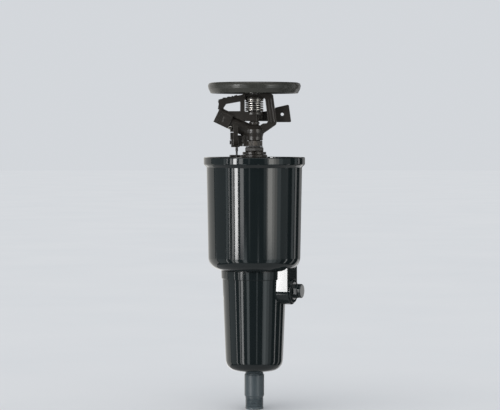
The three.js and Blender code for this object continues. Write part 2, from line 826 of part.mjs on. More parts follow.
const head = new THREE.Group();
head.add(
  piece("bearing_tube", bearingTube(), MATERIAL.internal),
  piece("thrust_washer", washer(268.8, 270.6), MATERIAL.nylon),
  piece("seal_washer", washer(270.9, 273.4), MATERIAL.rubber),
  piece("wear_washer", washer(273.7, 275.7), MATERIAL.nylon),
  piece("upper_washer", washer(296.6, 297.5, 9.8), MATERIAL.nylon),
  piece("sand_guard", sandGuard(), MATERIAL.head),
  piece("bearing_spring", coil(7.3, 0.4, 298.1, 302.6, 3), MATERIAL.steel),
  piece("bridge_body", bridgeBody(), MATERIAL.head),
  piece("fulcrum_pin", fulcrumPin(), MATERIAL.steel),
  piece("arm_spring", coil(8.9, 0.7, 336.5, 351.6, 6.5), MATERIAL.steel),
  piece("drive_arm", driveArm(), MATERIAL.head),
  piece("trip_pin", tripPin(), MATERIAL.steel),
  piece("trip_rocker", tripRocker(), MATERIAL.head),
  piece("trip_spring", tripSpring(), MATERIAL.steel),
  piece("cover", cover(), MATERIAL.head),
);
const wire = piece("trip_wire", tripWire(), MATERIAL.steel);
wire.position.x = -19.9;
head.add(wire);

const barrel = new THREE.Group();
barrelFrame().decompose(barrel.position, barrel.quaternion, barrel.scale);
barrel.add(
  piece("nozzle", nozzle(), MATERIAL.head),
  piece("flow_vane", flowVane(), MATERIAL.internal),
  piece("range_screw", rangeScrew(), MATERIAL.steel),
);
head.add(barrel);

sprinkler.add(fixed, riser, head);

export default sprinkler;
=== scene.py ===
import json
import math

import bmesh
import bpy
import numpy as np
from mathutils import Matrix, Vector


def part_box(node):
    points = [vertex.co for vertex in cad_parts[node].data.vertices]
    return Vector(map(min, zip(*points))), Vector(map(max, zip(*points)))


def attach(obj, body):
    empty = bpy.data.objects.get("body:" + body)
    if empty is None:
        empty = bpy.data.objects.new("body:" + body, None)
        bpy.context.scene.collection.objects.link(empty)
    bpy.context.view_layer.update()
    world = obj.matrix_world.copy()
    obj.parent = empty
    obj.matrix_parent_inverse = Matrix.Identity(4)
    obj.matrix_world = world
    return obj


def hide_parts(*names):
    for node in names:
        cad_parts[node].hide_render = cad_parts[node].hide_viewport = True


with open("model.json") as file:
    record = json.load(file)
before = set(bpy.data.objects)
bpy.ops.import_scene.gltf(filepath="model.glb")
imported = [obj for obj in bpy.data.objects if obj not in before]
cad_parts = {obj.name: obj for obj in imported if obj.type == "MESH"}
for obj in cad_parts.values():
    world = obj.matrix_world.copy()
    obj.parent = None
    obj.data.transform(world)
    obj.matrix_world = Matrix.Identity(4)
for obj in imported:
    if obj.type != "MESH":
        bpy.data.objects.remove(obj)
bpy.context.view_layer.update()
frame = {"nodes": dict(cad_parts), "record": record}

MM = 0.001
TAU = 2 * math.pi


# ---------------------------------------------------------------- places taken from the frame
def foot(node):
    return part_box(node)[0].z / MM


def top(node):
    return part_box(node)[1].z / MM


def radius(node):
    low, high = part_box(node)
    return (high.y - low.y) / 2 / MM


def middle(node):
    return (foot(node) + top(node)) / 2


WALL = 2.8
FIT = 0.3  # gap between pieces that fit together
SHOULDER = foot("upper_case")
CASE_TOP = top("upper_case")
CASE_BASE = foot("lower_case")
RIM_R = radius("upper_case")
COVER_LEDGE = CASE_TOP - 7.8
LEDGE_R = 53.2
UPPER_R = (52.0, 53.9)  # at the shoulder and under the rim
SHOULDER_FILLET = 14.5
LOWER_R = (32.4, 36.1)  # at the base and under the band
BASE_FILLET = 12
SOCKET_DEPTH = 14.5
SOCKET_R = 10.7
SOCKET_BOSS_R = 14.4
BAND_R = 37.5  # the band round the top of the lower case, just under the shoulder
BAND_DRAFT = 0.35
BAND_HEIGHT = 9.4
SPIGOT_R = 35.4  # the part that goes up into the upper case
SPIGOT_HEIGHT = 5
SEAT_R = 33.3
SEAT_DROP = 13

SIDE_Z = middle("side_inlet_plug")
SIDE_AZIMUTH = -21
SIDE_HALF = 15.5
SIDE_ROOT = 22.0
SIDE_FACE = 46
SIDE_EDGE = 0.8
SIDE_RING_FACE = 48
SIDE_RING_R = 13.5
SIDE_SOCKET_R = 10.4
PLUG_R = 10.1
PLUG_GROOVE_R = 8.2
PLUG_GRIP_R = 8.4
PLUG_CAP_R = 7.9

NIPPLE_TOP = top("inlet_nipple")
NIPPLE_R = radius("inlet_nipple")
NIPPLE_BORE_R = 7.9
THREAD_R = 10.4
THREAD_PITCH = 1.814
THREAD_DEPTH = 0.85
THREAD_STEP = 0.23
BARREL_FOOT = 15  # the nipple's plain barrel, between its threads
BARREL_TOP = 39.2

COVER_BASE = foot("cover")
COVER_TOP = top("cover")
COVER_R = radius("cover")


# ---------------------------------------------------------------- finishes
class Value:
    """A number that changes over a surface. Sums and products of values become Math nodes."""

    def __init__(self, finish, socket):
        self.finish = finish
        self.socket = socket

    def _math(self, operation, first, second):
        return self.finish.node("ShaderNodeMath", {"operation": operation}, {0: first, 1: second})

    def __add__(self, other):
        return self._math("ADD", self, other)

    def __sub__(self, other):
        return self._math("SUBTRACT", self, other)

    def __mul__(self, other):
        return self._math("MULTIPLY", self, other)

    def __rsub__(self, other):
        return self._math("SUBTRACT", other, self)

    __radd__ = __add__
    __rmul__ = __mul__

    def step(self, low, high):
        """0 below low, 1 above high, and smooth between."""
        settings = {"interpolation_type": "SMOOTHSTEP"}
        sockets = {"Value": self, "From Min": low, "From Max": high}
        return self.finish.node("ShaderNodeMapRange", settings, sockets)


class Finish:
    """One material, made node by node."""

    def __init__(self, name):
        self.material = bpy.data.materials.new(name)
        self.material.use_nodes = True
        self.tree = self.material.node_tree
        self.tree.nodes.clear()

    def node(self, kind, settings, inputs, output=0):
        made = self.tree.nodes.new(kind)
        for key, value in settings.items():
            setattr(made, key, value)
        for key, value in inputs.items():
            if isinstance(value, Value):
                self.tree.links.new(value.socket, made.inputs[key])
            else:
                made.inputs[key].default_value = value
        return Value(self, made.outputs[output])

    def place(self, stretch=(1, 1, 1)):
        """The point on the piece, in metres, stretched along its axes."""
        point = self.node("ShaderNodeTexCoord", {}, {}, "Object")
        return self.node("ShaderNodeVectorMath", {"operation": "MULTIPLY"}, {0: point, 1: stretch})

    def noise(self, scale, detail=3.0, rough=0.55, stretch=(1, 1, 1)):
        sockets = {"Vector": self.place(stretch), "Scale": scale, "Detail": detail, "Roughness": rough}
        return self.node("ShaderNodeTexNoise", {}, sockets, "Fac")

    def specks(self, scale):
        """Distance to scattered points, for pits and dust."""
        return self.node("ShaderNodeTexVoronoi", {}, {"Vector": self.place(), "Scale": scale}, "Distance")

    def edges(self):
        """Above a half on outside edges, below it in corners."""
        return self.node("ShaderNodeNewGeometry", {}, {}, "Pointiness")

    def mix(self, amount, first, second):
        settings = {"data_type": "RGBA"}
        return self.node("ShaderNodeMix", settings, {0: amount, 6: first, 7: second}, 2)

    def bump(self, height, distance, strength=1.0):
        return self.node("ShaderNodeBump", {}, {"Height": height, "Distance": distance, "Strength": strength})

    def close(self, **sockets):
        """Ends the material in its surface shader."""
        named = {key.replace("_", " "): value for key, value in sockets.items()}
        shader = self.node("ShaderNodeBsdfPrincipled", {}, named)
        output = self.tree.nodes.new("ShaderNodeOutputMaterial")
        self.tree.links.new(shader.socket, output.inputs["Surface"])
        return self.material


def rgb(red, green, blue):
    return (red, green, blue, 1.0)


def case_gloss():
    """Polished mould, black with a green-grey cast, faintly scuffed along its length."""
    f = Finish("case_gloss")
    cloud = f.noise(22, 2)
    scuffs = f.noise(90, 4, 0.7, (1, 1, 0.12)).step(0.56, 0.74)
    grain = f.noise(2600, 2)
    dust = f.noise(420, 5, 0.7).step(0.6, 0.8) * f.noise(30, 2).step(0.5, 0.7)
    colour = f.mix(cloud, rgb(0.0055, 0.0078, 0.0084), rgb(0.0078, 0.0107, 0.0114))
    dusty = f.mix(dust * 0.12, colour, rgb(0.12, 0.105, 0.09))
    return f.close(
        Base_Color=dusty,
        Roughness=0.065 + cloud * 0.03 + scuffs * 0.05 + dust * 0.12,
        IOR=1.5,
        Normal=f.bump(grain, 0.000004, 0.3),
    )


def cover_satin():
    """Lid plastic, a little warmer than the case, rubbed to a satin on the top and the rim."""
    f = Finish("cover_satin")
    cloud = f.noise(30, 3)
    rub = f.noise(150, 4, 0.7, (1, 1, 0.3)).step(0.5, 0.75)
    grain = f.noise(1900, 2)
    colour = f.mix(cloud, rgb(0.02, 0.0205, 0.018), rgb(0.032, 0.032, 0.027))
    return f.close(
        Base_Color=colour,
        Roughness=0.2 + cloud * 0.08 + rub * 0.1,
        IOR=1.5,
        Normal=f.bump(grain, 0.00003, 0.4),
    )


def head_black():
    """Glass-filled nylon of the head, with a fine sparked grain and paler brownish edges, partly rubbed wear
    and partly a painted highlight.
    """
    f = Finish("head_black")
    cloud = f.noise(60, 3)
    grain = f.noise(3200, 3, 0.65)
    # Outside edges get a paler brown: rubbed wear, and partly a painted highlight standing for the light the
    # edges catch.
    edge_wear_and_highlight = f.edges().step(0.515, 0.56) * f.noise(260, 3).step(0.4, 0.65)
    colour = f.mix(cloud, rgb(0.014, 0.0125, 0.0115), rgb(0.026, 0.0225, 0.019))
    # rubbed: the head's colour with the paler edges mixed in, both wear and painted highlight.
    rubbed = f.mix(edge_wear_and_highlight * 0.6, colour, rgb(0.085, 0.07, 0.055))
    return f.close(
        Base_Color=rubbed,
        Roughness=0.24 + cloud * 0.12 + edge_wear_and_highlight * 0.1,
        IOR=1.5,
        Normal=f.bump(grain, 0.00005, 0.45),
    )


def pipe_grey():
    """Dark blue-grey pipe plastic of the nipple, with lathe marks and a few nicks."""
    f = Finish("pipe_grey")
    cloud = f.noise(80, 3)
    turning = f.noise(500, 2, 0.5, (0.05, 0.05, 4))
    nicks = 1 - f.specks(320).step(0.05, 0.16)
    colour = f.mix(cloud, rgb(0.036, 0.047, 0.053), rgb(0.05, 0.063, 0.07))
    marked = f.mix(nicks * 0.4, colour, rgb(0.12, 0.14, 0.15))
    return f.close(
        Base_Color=marked,
        Roughness=0.27 + cloud * 0.12 + nicks * 0.15,
        IOR=1.5,
        Normal=f.bump(turning + nicks * -0.6, 0.00006, 0.5),
    )


def inner_black():
    """Plain moulding of the parts inside."""
    f = Finish("inner_black")
    cloud = f.noise(70, 3)
    grain = f.noise(1500, 3)
    colour = f.mix(cloud, rgb(0.014, 0.015, 0.016), rgb(0.026, 0.027, 0.028))
    return f.close(Base_Color=colour, Roughness=0.36 + cloud * 0.14, Normal=f.bump(grain, 0.00005, 0.4))


def seal_rubber():
    """Black rubber with a grey bloom."""
    f = Finish("seal_rubber")
    bloom = f.noise(240, 4).step(0.45, 0.75)
    colour = f.mix(bloom * 0.6, rgb(0.008, 0.008, 0.008), rgb(0.03, 0.03, 0.03))
    normal = f.bump(f.noise(2200, 2), 0.00004, 0.5)
    return f.close(Base_Color=colour, Roughness=0.6 + bloom * 0.2, Normal=normal)


def washer_nylon():
    """Natural nylon, stained brown in patches."""
    f = Finish("washer_nylon")
    stain = f.noise(300, 4).step(0.45, 0.8)
    colour = f.mix(stain * 0.5, rgb(0.7, 0.67, 0.58), rgb(0.42, 0.37, 0.28))
    normal = f.bump(f.noise(1800, 2), 0.00004, 0.4)
    return f.close(Base_Color=colour, Roughness=0.42 + stain * 0.2, Normal=normal)


def screen_grey():
    """Grey plastic of the strainer, dulled by silt."""
    f = Finish("screen_grey")
    stain = f.noise(180, 4).step(0.4, 0.8)
    colour = f.mix(stain * 0.6, rgb(0.28, 0.29, 0.28), rgb(0.16, 0.15, 0.12))
    normal = f.bump(f.noise(1500, 2), 0.00005, 0.4)
    return f.close(Base_Color=colour, Roughness=0.5 + stain * 0.2, Normal=normal)


def spring_wire():
    """Drawn stainless wire, bright, with brown water marks."""
    f = Finish("spring_wire")
    drawn = f.noise(1800, 3, 0.6)
    marks = f.noise(320, 4, 0.6).step(0.52, 0.75)
    colour = f.mix(marks * 0.55, rgb(0.62, 0.6, 0.56), rgb(0.24, 0.19, 0.14))
    return f.close(
        Base_Color=colour,
        Metallic=1.0 - marks * 0.3,
        Roughness=0.2 + drawn * 0.12 + marks * 0.22,
        Normal=f.bump(drawn, 0.00002, 0.4),
    )


def coated_wire():
    """Black coating on the trip's wire and pin, rubbed grey in places."""
    f = Finish("coated_wire")
    rubbed = f.noise(700, 4, 0.6).step(0.55, 0.72)
    colour = f.mix(rubbed * 0.5, rgb(0.012, 0.012, 0.012), rgb(0.09, 0.085, 0.08))
    normal = f.bump(f.noise(2400, 2), 0.00003, 0.4)
    return f.close(Base_Color=colour, Roughness=0.3 + rubbed * 0.15, Normal=normal)


def floor_board():
    """Pale matt board under the sprinkler."""
    f = Finish("floor_board")
    cloud = f.noise(3, 3)
    colour = f.mix(cloud, rgb(0.74, 0.75, 0.76), rgb(0.8, 0.8, 0.8))
    normal = f.bump(f.noise(60, 4), 0.0002, 0.2)
    return f.close(Base_Color=colour, Roughness=0.8 + cloud * 0.1, Specular_IOR_Level=0.0, Normal=normal)


SLOT_FINISH = {
    "case_plastic": case_gloss(),
    "cover_plastic": cover_satin(),
    "head_plastic": head_black(),
    "nipple_plastic": pipe_grey(),
    "inner_plastic": inner_black(),
    "screen_plastic": screen_grey(),
    "washer_nylon": washer_nylon(),
    "seal_rubber": seal_rubber(),
    "spring_steel": spring_wire(),
}
NODE_SLOT = {entry["node"]: entry["material_slot"] for entry in frame["record"]["subparts"]}
COATED = coated_wire()
# Nodes that look unlike the rest of their slot: the blackened trip wire and pin, and the upper washer, given
# the dark finish as painted shade for the dark line between the bearing nut and the sand guard.
OWN_FINISH = {
    "trip_wire": COATED,
    "trip_pin": COATED,
    "upper_washer": SLOT_FINISH["inner_plastic"],
}


def finish_of(node):
    """The material of a node: its own, or its slot's."""
    return OWN_FINISH.get(node, SLOT_FINISH[NODE_SLOT[node]])


# ---------------------------------------------------------------- mesh making
def rounded(corners, steps=5):
    """A profile with its corners rounded. Each corner is (r, z) or (r, z, fillet radius)."""
    points = []
    count = len(corners)
    for i, corner in enumerate(corners):
        here = Vector(corner[:2])
        if len(corner) < 3:
            points.append(here)
            continue
        before = Vector(corners[i - 1][:2]) - here
        after = Vector(corners[(i + 1) % count][:2]) - here
        half = before.angle(after) / 2
        reach = min(corner[2] / math.tan(half), before.length * 0.49, after.length * 0.49)
        start = here + before.normalized() * reach
        end = here + after.normalized() * reach
        for k in range(steps + 1):
            t = k / steps
            blend = start.lerp(here, t).lerp(here.lerp(end, t), t)
            points.append(blend)
    return [(p.x, p.y) for p in points]


def arc(centre, size, start, end, steps):
    angles = [math.radians(start + (end - start) * i / steps) for i in range(steps + 1)]
    return [(centre[0] + size * math.cos(a), centre[1] + size * math.sin(a)) for a in angles]


def mesh_piece(name, points, faces, crease=40):
    """A mesh in millimetres as an object in metres, smooth except over sharp edges."""
    mesh = bpy.data.meshes.new(name)
    mesh.from_pydata([(x * MM, y * MM, z * MM) for x, y, z in points], [], faces)
    return finish_mesh(name, mesh, crease)


def finish_mesh(name, mesh, crease=40):
    work = bmesh.new()
    work.from_mesh(mesh)
    bmesh.ops.remove_doubles(work, verts=work.verts, dist=1e-7)
    bmesh.ops.recalc_face_normals(work, faces=work.faces)
    work.to_mesh(mesh)
    work.free()
    mesh.polygons.foreach_set("use_smooth", [True] * len(mesh.polygons))
    mesh.set_sharp_from_angle(angle=math.radians(crease))
    piece = bpy.data.objects.new(name, mesh)
    bpy.context.scene.collection.objects.link(piece)
    return piece


def turned(name, profile, facets=160):
    """Revolves a closed profile about the axis."""
    points, faces = [], []
    for i in range(facets):
        angle = math.radians(360 * i / facets)
        points += [(r * math.cos(angle), r * math.sin(angle), z) for r, z in profile]
    rows = len(profile)
    for i in range(facets):
        here, there = i * rows, (i + 1) % facets * rows
        for j in range(rows):
            k = (j + 1) % rows
            faces.append([here + j, here + k, there + k, there + j])
    return mesh_piece(name, points, faces)


def extruded(name, low, high):
    """A closed solid between two outlines with the same number of points."""
    count = len(low)
    faces = [list(range(count)), list(range(count, 2 * count))]
    faces += [[i, (i + 1) % count, (i + 1) % count + count, i + count] for i in range(count)]
    return mesh_piece(name, [*low, *high], faces)


def upright(outline, near, far):
    """A plate with an outline of (x, z), from near to far along Y."""
    return extruded("plate", [(x, near, z) for x, z in outline], [(x, far, z) for x, z in outline])


def flat(outline, low, high):
    """A plate with an outline of (x, y), from low to high along Z."""
    return extruded("plate", [(x, y, low) for x, y in outline], [(x, y, high) for x, y in outline])


def block(name, low, high):
    """A box between two opposite corners."""
    corners = [(x, y, z) for z in (low[2], high[2]) for y in (low[1], high[1]) for x in (low[0], high[0])]
    faces = [(0, 1, 3, 2), (4, 6, 7, 5), (0, 4, 5, 1), (2, 3, 7, 6), (0, 2, 6, 4), (1, 5, 7, 3)]
    return mesh_piece(name, corners, faces)


def swept(name, path, wire, sides=14):
    """A round wire along a list of points."""
    path = [Vector(p) for p in path]
    points, faces = [], []
    normal = None
    for i, here in enumerate(path):
        ahead = path[min(i + 1, len(path) - 1)] - path[max(i - 1, 0)]
        ahead.normalize()
        if normal is None:
            normal = ahead.orthogonal().normalized()
        normal = (normal - ahead * normal.dot(ahead)).normalized()
        side = ahead.cross(normal)
        for k in range(sides):
            a = TAU * k / sides
            points.append(here + (normal * math.cos(a) + side * math.sin(a)) * wire)
    for i in range(len(path) - 1):
        for k in range(sides):
            n = (k + 1) % sides
            faces.append([i * sides + k, i * sides + n, (i + 1) * sides + n, (i + 1) * sides + k])
    faces += [list(range(sides)), list(range((len(path) - 1) * sides, len(path) * sides))]
    return mesh_piece(name, points, faces)


def applied(piece):
    """The piece with its modifiers worked into its mesh."""
    evaluated = piece.evaluated_get(bpy.context.evaluated_depsgraph_get())
    mesh = bpy.data.meshes.new_from_object(evaluated)
    piece.modifiers.clear()
    piece.data = mesh
    return piece


def combine(piece, other, operation):
    """Cuts or joins two pieces, and drops the second."""
    work = piece.modifiers.new("combine", "BOOLEAN")
    work.operation = operation
    work.solver = "EXACT"
    work.object = other
    applied(piece)
    bpy.data.objects.remove(other)
    return piece


def shade(piece, crease=35, level=False):
    """Smooth shading over gentle edges. A level piece keeps its flat faces flat beside rounded ones."""
    piece.data.polygons.foreach_set("use_smooth", [True] * len(piece.data.polygons))
    piece.data.set_sharp_from_angle(angle=math.radians(crease))
    if level:
        weigh = piece.modifiers.new("level", "WEIGHTED_NORMAL")
        weigh.keep_sharp = True
        weigh.weight = 100
        applied(piece)
    return piece


def moulded(node, voxel, passes, forms, keep=0.35):
    """A node's own form with the soft edges of a moulding, and with further forms grown into it."""
    work = bmesh.new()
    work.from_mesh(frame["nodes"][node].data)
    for form in forms:
        work.from_mesh(form.data)
        bpy.data.objects.remove(form)
    mesh = bpy.data.meshes.new(node + "_moulding")
    work.to_mesh(mesh)
    work.free()
    piece = bpy.data.objects.new(node + "_moulding", mesh)
    bpy.context.scene.collection.objects.link(piece)
    fine = piece.modifiers.new("fine", "REMESH")
    fine.mode = "VOXEL"
    fine.voxel_size = voxel * MM
    ease = piece.modifiers.new("ease", "SMOOTH")
    ease.factor = 0.5
    ease.iterations = passes
    thin = piece.modifiers.new("thin", "DECIMATE")
    thin.ratio = keep
    applied(piece)
    piece.data.materials.clear()
    return shade(piece, 60)


def fit_out(piece, body, *nodes):
    """Puts a piece on its body in place of the nodes it stands for, in their finish."""
    piece.data.materials.clear()
    piece.data.materials.append(finish_of(nodes[0]))
    nodes[0] not in OWN_FINISH
    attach(piece, body)
    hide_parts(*nodes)
    return piece


# ---------------------------------------------------------------- case
def upper_skin(margin=0.0):
    """Outside of the upper case, from the shoulder to the ledge under the lid."""
    centre = (UPPER_R[0] - SHOULDER_FILLET, SHOULDER + SHOULDER_FILLET)
    bend = arc(centre, SHOULDER_FILLET + margin, -90, 0, 14)
    return bend + [(UPPER_R[1] + margin, COVER_LEDGE - 2.7), (RIM_R + margin, COVER_LEDGE)]


def upper_case():
    """The wide part of the case, open at the top, with its rim and the ledge for the lid."""
    bend_centre = (UPPER_R[0] - SHOULDER_FILLET, SHOULDER + SHOULDER_FILLET)
    inside = arc(bend_centre, SHOULDER_FILLET - WALL, 0, -90, 12)
    rim = [
        (UPPER_R[1], COVER_LEDGE - 3.4, 1.0),
        (RIM_R, COVER_LEDGE - 0.2, 2.6),
        (RIM_R, CASE_TOP, 1.3),
        (LEDGE_R, CASE_TOP, 0.5),
        (LEDGE_R, COVER_LEDGE, 0.3),
        (UPPER_R[1] - WALL, COVER_LEDGE, 0.5),
    ]
    profile = [(SPIGOT_R + FIT, SHOULDER), *upper_skin()[:-2], *rounded([*rim, inside[0]])[:-1]]
    profile += [*inside, (SPIGOT_R + FIT, SHOULDER + WALL)]
    shell = turned("upper_case_shell", profile, 192)
    fit_out(shell, "case", "upper_case")


def arch_block():
    """The block of the side inlet, pointing along +X, with its outer edge rounded."""
    half = arc((0, SIDE_Z), SIDE_HALF, 180, 360, 40)
    roof = SHOULDER + 14
    outline = [*half, (SIDE_HALF, roof), (-SIDE_HALF, roof)]
    edge = SIDE_EDGE
    layers = [(SIDE_ROOT, 0.0), (SIDE_FACE - edge, 0.0)]
    for turn in np.linspace(0.3, math.pi / 2, 5):
        layers.append((SIDE_FACE - edge * (1 - math.sin(turn)), edge * (1 - math.cos(turn))))
    points, faces = [], []
    for depth, inset in layers:
        for y, z in outline:
            across = 1 - inset / SIDE_HALF
            down = SIDE_Z + (z - SIDE_Z) * across if z < SIDE_Z else z
            points.append((depth, y * across, down))
    rows = len(outline)
    for i in range(len(layers) - 1):
        for j in range(rows):
            k = (j + 1) % rows
            faces.append([i * rows + j, i * rows + k, (i + 1) * rows + k, (i + 1) * rows + j])
    faces += [list(range(rows)), list(range((len(layers) - 1) * rows, len(layers) * rows))]
    return mesh_piece("arch_block", points, faces)


def spun(piece, degrees):
    """Turns a piece about the sprinkler's axis."""
    piece.data.transform(Matrix.Rotation(math.radians(degrees), 4, "Z"))
    return piece


def lying(piece):
    """Lays a turned piece along the side inlet's axis."""
    quarter = Matrix.Rotation(math.pi / 2, 4, "Y")
    aim = Matrix.Rotation(math.radians(SIDE_AZIMUTH), 4, "Z")
    piece.data.transform(Matrix.Translation((0, 0, SIDE_Z * MM)) @ aim @ quarter)
    return piece


def side_block():
    """The side inlet's block with its raised ring, hollowed to suit both parts of the case."""
    body = spun(arch_block(), SIDE_AZIMUTH)
    back = SIDE_FACE - 2
    raised = [(0, back), (SIDE_RING_R, back), (SIDE_RING_R, SIDE_RING_FACE, 0.7), (0, SIDE_RING_FACE)]
    combine(body, lying(turned("raised_ring", rounded(raised), 96)), "UNION")
    skin = [(0, SHOULDER - FIT), *upper_skin(FIT), (0, COVER_LEDGE)]
    combine(body, turned("upper_envelope", skin), "DIFFERENCE")
    floor_z, seat_z, roof = CASE_BASE + 20, SHOULDER - SEAT_DROP, SHOULDER + 20
    room = [
        (0, floor_z),
        (LOWER_R[0] - WALL + 1, floor_z),
        (SEAT_R + 0.5, seat_z),
        (SEAT_R + 0.5, roof),
        (0, roof),
    ]
    return combine(body, turned("inside_room", room), "DIFFERENCE")


def lower_case():
    """The narrow part of the case, with its band, spigot, base socket and side inlet."""
    bend = (LOWER_R[0] - BASE_FILLET, CASE_BASE + BASE_FILLET)
    outside = arc(bend, BASE_FILLET, -90, 0, 14)
    inside = arc(bend, BASE_FILLET - WALL, 0, -90, 8)
    band = rounded(
        [
            (LOWER_R[1], SHOULDER - BAND_HEIGHT - 0.8, 0.5),
            (BAND_R - BAND_DRAFT, SHOULDER - BAND_HEIGHT, 0.5),
            (BAND_R, SHOULDER - FIT, 0.4),
            (SPIGOT_R, SHOULDER - FIT),
        ],
        4,
    )
    profile = [
        (SOCKET_R, CASE_BASE),
        *outside,
        *band,
        (SPIGOT_R, SHOULDER + SPIGOT_HEIGHT),
        (SEAT_R, SHOULDER + SPIGOT_HEIGHT),
        (SEAT_R, SHOULDER - SEAT_DROP),
        *inside,
        (SOCKET_BOSS_R, CASE_BASE + WALL),
        (SOCKET_BOSS_R, CASE_BASE + SOCKET_DEPTH),
        (SOCKET_R, CASE_BASE + SOCKET_DEPTH),
    ]
    shell = turned("lower_case_shell", profile)
    combine(shell, side_block(), "UNION")
    start, end = SIDE_ROOT - 2, SIDE_RING_FACE + 5
    socket = [(0, start), (SIDE_SOCKET_R, start), (SIDE_SOCKET_R, end), (0, end)]
    combine(shell, lying(turned("socket_cutter", socket, 72)), "DIFFERENCE")
    return fit_out(shade(shell, 35, True), "case", "lower_case")


def side_plug():
    """The plug in the side inlet: a collar with a seal groove, flats for a spanner, and a round cap."""
    root = SIDE_ROOT + 12
    face = SIDE_RING_FACE + FIT
    grip = face + 5.6
    cap = face + 9.3
    body = rounded(
        [
            (0, root),
            (PLUG_R, root, 0.5),
            (PLUG_R, face - 4, 0.3),
            (PLUG_GROOVE_R, face - 4, 0.3),
            (PLUG_GROOVE_R, face - 1.2, 0.3),
            (PLUG_R, face - 1.2, 0.3),
            (PLUG_R, face, 0.3),
            (7, face),
            (7, grip),
            (PLUG_CAP_R, grip + 0.8, 0.4),
            (PLUG_CAP_R, cap, 0.9),
            (0, cap),
        ]
    )
    piece = turned("side_plug", body, 72)
    flats = rounded([(0, face - 0.2), (PLUG_GRIP_R, face - 0.2), (PLUG_GRIP_R, grip, 0.6), (0, grip)])
    combine(piece, spun(turned("plug_grip", flats, 8), 22.5), "UNION")
    return fit_out(shade(lying(piece), 30, True), "case", "side_inlet_plug")


# ---------------------------------------------------------------- nipple
def thread_depth(height, angle, low, high):
    """Depth of a pipe thread at a point, tapering out at both ends of its run."""
    phase = (height / THREAD_PITCH - angle / TAU) % 1.0
    tooth = abs(2 * phase - 1)
    fade = min(max((height - low) / 1.5, 0), max((high - height) / 1.5, 0), 1)
    return THREAD_DEPTH * tooth * fade


def nipple():
    """Threaded at both ends, plain in the middle."""
    sections = 120
    chamfer = 0.7
    lower_end = BARREL_FOOT - 0.8
    lower_run = np.arange(1.0, lower_end, THREAD_STEP)
    upper_run = np.arange(BARREL_TOP + 0.8, NIPPLE_TOP - 0.9, THREAD_STEP)
    barrel = [BARREL_FOOT, BARREL_FOOT + 0.4, BARREL_TOP - 0.4, BARREL_TOP]
    heights = [0, chamfer, *lower_run, *barrel, *upper_run, NIPPLE_TOP - chamfer, NIPPLE_TOP]
    points, faces = [], []
    for z in heights:
        for k in range(sections):
            angle = TAU * k / sections
            threaded = z < BARREL_FOOT - 0.6 or z > BARREL_TOP + 0.4
            size = THREAD_R if threaded else NIPPLE_R
            if z in (0, NIPPLE_TOP):
                size = THREAD_R - 0.8
            if z in (BARREL_FOOT, BARREL_TOP):
                size = NIPPLE_R - 0.25
            depth = thread_depth(z, angle, 1.2, lower_end)
            depth += thread_depth(z, angle, BARREL_TOP + 0.6, NIPPLE_TOP - 1.2)
            size -= depth
            points.append((size * math.cos(angle), size * math.sin(angle), z))
    for z in (NIPPLE_TOP, 0):
        for k in range(sections):
            angle = TAU * k / sections
            points.append((NIPPLE_BORE_R * math.cos(angle), NIPPLE_BORE_R * math.sin(angle), z))
    rows = len(heights) + 2
    for i in range(rows):
        for k in range(sections):
            n = (k + 1) % sections
            j = (i + 1) % rows
            faces.append([i * sections + k, i * sections + n, j * sections + n, j * sections + k])
    fit_out(mesh_piece("threaded_nipple", points, faces, 30), "case", "inlet_nipple")


# ---------------------------------------------------------------- cover
def cover():
    """The round lid: a shallow dish with a rolled edge, a socket for the head's stub, and ribs under it."""
    underside = COVER_TOP - 2.5
    edge = [
        (0, COVER_TOP),
        (COVER_R - 3.8, COVER_TOP, 2.0),
        (COVER_R - 0.9, COVER_TOP - 1.0, 1.6),
        (COVER_R, COVER_TOP - 3.6, 2.0),
        (COVER_R - 0.7, COVER_TOP - 7.2, 2.0),
        (COVER_R - 3.2, COVER_BASE, 1.0),
        (COVER_R - 4.8, COVER_BASE, 0.5),
        (COVER_R - 3, COVER_TOP - 6.4, 1.5),
        (COVER_R - 4.4, COVER_TOP - 3, 1.2),
        (0, COVER_TOP - 3),
    ]
    lid = turned("lid", rounded(edge, 8), 192)
    socket = [(5.8, COVER_BASE, 0.3), (9.4, COVER_BASE, 0.4), (9.4, underside), (5.8, underside)]
    combine(lid, turned("lid_socket", rounded(socket), 64), "UNION")
    for k in range(8):
        rib = block("rib", (9, -0.8, underside - 3), (COVER_R - 3.6, 0.8, underside))
        combine(lid, spun(rib, 45 * k), "UNION")
    fit_out(shade(lid), "head", "cover")


# ---------------------------------------------------------------- springs
def coil(size, wire, low, high, turns, closed=1.0):
    """The middle line of a coil spring about Z, with its ends closed flat."""
    steps = int(turns * 40)
    flat_end = 2 * wire * closed
    span = high - low - 2 * wire
    path = []
    for i in range(steps + 1):
        turn = turns * i / steps
        rise = min(max((turn - closed) / (turns - 2 * closed), 0), 1)
        height = low + wire + min(turn, closed) * 2 * wire + rise * (span - 2 * flat_end)
        height += max(turn - (turns - closed), 0) * 2 * wire
        angle = TAU * turn
        path.append((size * math.cos(angle), size * math.sin(angle), height))
    return path


def spring(node, body, size, wire, low, high, turns):
    """A coil spring about the sprinkler's axis."""
    fit_out(swept(node + "_coil", coil(size, wire, low, high, turns), wire), body, node)


def springs():
    seat = SPRING_SEAT + 0.8
    spring("arm_spring", "head", 9.5, 0.8, seat, top("arm_spring"), 6)
    spring("bearing_spring", "head", 7.3, 0.4, foot("bearing_spring"), top("bearing_spring"), 4)
    spring("retract_spring", "case", 16.7, 1.0, foot("retract_spring"), top("retract_spring"), 9)


def toggle_spring():
    """The trip's small coil, lying round its pin."""
    low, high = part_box("trip_spring")
    piece = swept("trip_spring_coil", coil(2.6, 0.4, low.x / MM, high.x / MM, 3.5, 0.6), 0.4)
    lay = Matrix.Rotation(math.pi / 2, 4, "Y")
    piece.data.transform(Matrix.Translation((0, 0, TRIP_PIN_Z * MM)) @ lay)
    fit_out(piece, "head", "trip_spring")


